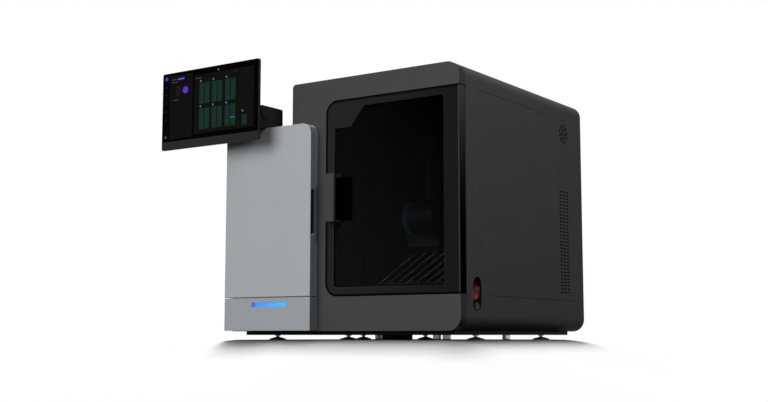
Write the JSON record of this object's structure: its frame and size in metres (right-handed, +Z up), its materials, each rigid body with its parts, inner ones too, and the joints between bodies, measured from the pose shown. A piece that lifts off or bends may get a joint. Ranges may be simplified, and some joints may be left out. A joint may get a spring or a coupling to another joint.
{
  "type": "digital slide scanner",
  "caption": "Bench scanner for microscope slides: dark cabinet with a glazed hinged door, a pull-out light loader drawer with slide racks, and a tilting monitor in front.",
  "frame": {"origin": "on the table, under the middle of the whole unit's outline", "axes": "+X to the right seen from the front, +Y to the back, +Z up"},
  "size_m": [0.8296, 0.724, 0.676],
  "materials": {
    "front_paint": "fine matt graphite moulding",
    "side_paint": "fine matt dark grey powder coat",
    "door_moulding": "matt near-black moulding",
    "door_pane": "dark tinted clear pane",
    "seal_rubber": "soft black sealing strip",
    "light_paint": "satin light silver-grey paint",
    "tower_paint": "matt dark grey paint",
    "status_lens": "lit blue light bar",
    "black_gloss": "black moulding",
    "screen": "dark screen behind clear front",
    "dark_mount": "satin black",
    "steel": "bare steel",
    "zinc_sheet": "zinc-plated sheet",
    "black_sheet": "black sheet",
    "plinth_paint": "matt black sheet",
    "foot_pad": "black pad on a plated stem",
    "stud_metal": "turned steel",
    "silver_key": "satin metal cap",
    "rocker_lens": "red cap, lit from inside",
    "dark_screw": "blackened screw heads",
    "fan_plastic": "black moulding",
    "machined": "machined, clear anodised",
    "black_anodised": "black anodised",
    "lens_glass": "coated lens",
    "slat_brass": "dull yellow passivated sheet",
    "rack_plastic": "light grey moulding",
    "inlet_plastic": "black socket"
  },
  "bodies": {
    "cabinet": {"cabinet_shell": "side_paint", "front_bezel": "front_paint", "door_jamb": "black_sheet", "rear_cover": "side_paint", "mains_inlet": "inlet_plastic", "side_panel": "side_paint", "panel_screws": "dark_screw", "fan_grille": "side_paint", "fan_frame": "fan_plastic", "switch_cup": "front_paint", "plinth": "plinth_paint", "support_studs": "stud_metal", "hinge_pins": "steel", "tower_housing": "tower_paint", "lower_panel": "light_paint", "status_light": "status_lens", "fixed_rails": "steel", "optics_base": "black_anodised", "optics_column": "machined", "stage_rails": "steel", "slat_tray": "slat_brass", "transfer_post": "steel"},
    "fan": {"fan_rotor": "fan_plastic"},
    "power_switch": {"power_rocker": "rocker_lens"},
    "standby_key": {"standby_button": "silver_key"},
    "door": {"door_frame": "door_moulding", "door_glass": "door_pane", "door_seal": "seal_rubber", "door_pull": "front_paint", "pull_dish": "door_moulding"},
    "drawer": {"drawer_front": "light_paint", "drawer_carriage": "zinc_sheet", "drawer_runners": "steel", "monitor_mount": "dark_mount", "tilt_pin": "dark_mount"},
    "monitor": {"monitor_bracket": "dark_mount", "monitor_housing": "black_gloss", "display_glass": "screen"},
    "saddle": {"stage_saddle": "machined"},
    "stage": {"stage_plate": "black_anodised"},
    "focus": {"focus_head": "machined", "camera_unit": "black_anodised", "lamp_house": "machined", "lamp_lens": "lens_glass"},
    "turret": {"nosepiece": "black_anodised", "objectives": "steel"},
    "lift": {"transfer_lift": "machined"},
    "fork": {"transfer_fork": "steel"},
    "foot_1": {"levelling_foot_1": "foot_pad"},
    "foot_2": {"levelling_foot_2": "foot_pad"},
    "foot_3": {"levelling_foot_3": "foot_pad"},
    "foot_4": {"levelling_foot_4": "foot_pad"},
    "foot_5": {"levelling_foot_5": "foot_pad"},
    "foot_6": {"levelling_foot_6": "foot_pad"},
    "rack_1": {"slide_rack_1": "rack_plastic"},
    "rack_2": {"slide_rack_2": "rack_plastic"},
    "rack_3": {"slide_rack_3": "rack_plastic"},
    "rack_4": {"slide_rack_4": "rack_plastic"},
    "rack_5": {"slide_rack_5": "rack_plastic"},
    "rack_6": {"slide_rack_6": "rack_plastic"}
  },
  "joints": [
    {"name": "door_swing", "type": "hinge", "parent": "cabinet", "child": "door", "pos_m": [0.4085, -0.2565, 0.333], "axis": [0, 0, 1], "range_deg": [0, 100]},
    {"name": "drawer_pull_out", "type": "slide", "parent": "cabinet", "child": "drawer", "axis": [0, -1, 0], "range_m": [0, 0.33]},
    {"name": "monitor_tilt", "type": "hinge", "parent": "drawer", "child": "monitor", "pos_m": [-0.2535, -0.312, 0.552], "axis": [1, 0, 0], "range_deg": [-20, 5]},
    {"name": "rocker_tip", "type": "hinge", "parent": "cabinet", "child": "power_switch", "pos_m": [0.4048, -0.2035, 0.106], "axis": [0, -1, 0], "range_deg": [0, 18]},
    {"name": "standby_press", "type": "slide", "parent": "cabinet", "child": "standby_key", "axis": [-1, 0, 0], "range_m": [0, 0.0025], "stiffness_N_per_m": 500, "springref_m": -0.002},
    {"name": "fan_spin", "type": "hinge", "parent": "cabinet", "child": "fan", "pos_m": [0.4005, 0.257, 0.528], "axis": [1, 0, 0], "continuous": true},
    {"name": "stage_travel_y", "type": "slide", "parent": "cabinet", "child": "saddle", "axis": [0, 1, 0], "range_m": [-0.06, 0.06]},
    {"name": "stage_travel_x", "type": "slide", "parent": "saddle", "child": "stage", "axis": [1, 0, 0], "range_m": [-0.038, 0.038]},
    {"name": "focus_travel", "type": "slide", "parent": "cabinet", "child": "focus", "axis": [0, 0, 1], "range_m": [-0.001, 0.02]},
    {"name": "turret_turn", "type": "hinge", "parent": "focus", "child": "turret", "pos_m": [0.1895, -0.002, 0.182], "axis": [0, 0, 1], "continuous": true},
    {"name": "lift_travel", "type": "slide", "parent": "cabinet", "child": "lift", "axis": [0, 0, 1], "range_m": [-0.18, 0.18]},
    {"name": "fork_travel", "type": "slide", "parent": "lift", "child": "fork", "axis": [1, 0, 0], "range_m": [-0.06, 0.15]},
    {"name": "foot_1_turn", "type": "hinge", "parent": "cabinet", "child": "foot_1", "pos_m": [0.3645, -0.125, 0.01], "axis": [0, 0, 1], "range_deg": [-360, 360]},
    {"name": "foot_2_turn", "type": "hinge", "parent": "cabinet", "child": "foot_2", "pos_m": [0.3645, 0.209, 0.01], "axis": [0, 0, 1], "range_deg": [-360, 360]},
    {"name": "foot_3_turn", "type": "hinge", "parent": "cabinet", "child": "foot_3", "pos_m": [0.0045, -0.125, 0.01], "axis": [0, 0, 1], "range_deg": [-360, 360]},
    {"name": "foot_4_turn", "type": "hinge", "parent": "cabinet", "child": "foot_4", "pos_m": [0.0045, 0.233, 0.01], "axis": [0, 0, 1], "range_deg": [-360, 360]},
    {"name": "foot_5_turn", "type": "hinge", "parent": "cabinet", "child": "foot_5", "pos_m": [-0.1855, -0.168, 0.01], "axis": [0, 0, 1], "range_deg": [-360, 360]},
    {"name": "foot_6_turn", "type": "hinge", "parent": "cabinet", "child": "foot_6", "pos_m": [-0.1855, 0.209, 0.01], "axis": [0, 0, 1], "range_deg": [-360, 360]},
    {"name": "rack_1_lift_out", "type": "slide", "parent": "drawer", "child": "rack_1", "axis": [0, 0, 1], "range_m": [0, 0.008]},
    {"name": "rack_2_lift_out", "type": "slide", "parent": "drawer", "child": "rack_2", "axis": [0, 0, 1], "range_m": [0, 0.008]},
    {"name": "rack_3_lift_out", "type": "slide", "parent": "drawer", "child": "rack_3", "axis": [0, 0, 1], "range_m": [0, 0.008]},
    {"name": "rack_4_lift_out", "type": "slide", "parent": "drawer", "child": "rack_4", "axis": [0, 0, 1], "range_m": [0, 0.008]},
    {"name": "rack_5_lift_out", "type": "slide", "parent": "drawer", "child": "rack_5", "axis": [0, 0, 1], "range_m": [0, 0.008]},
    {"name": "rack_6_lift_out", "type": "slide", "parent": "drawer", "child": "rack_6", "axis": [0, 0, 1], "range_m": [0, 0.008]}
  ]
}
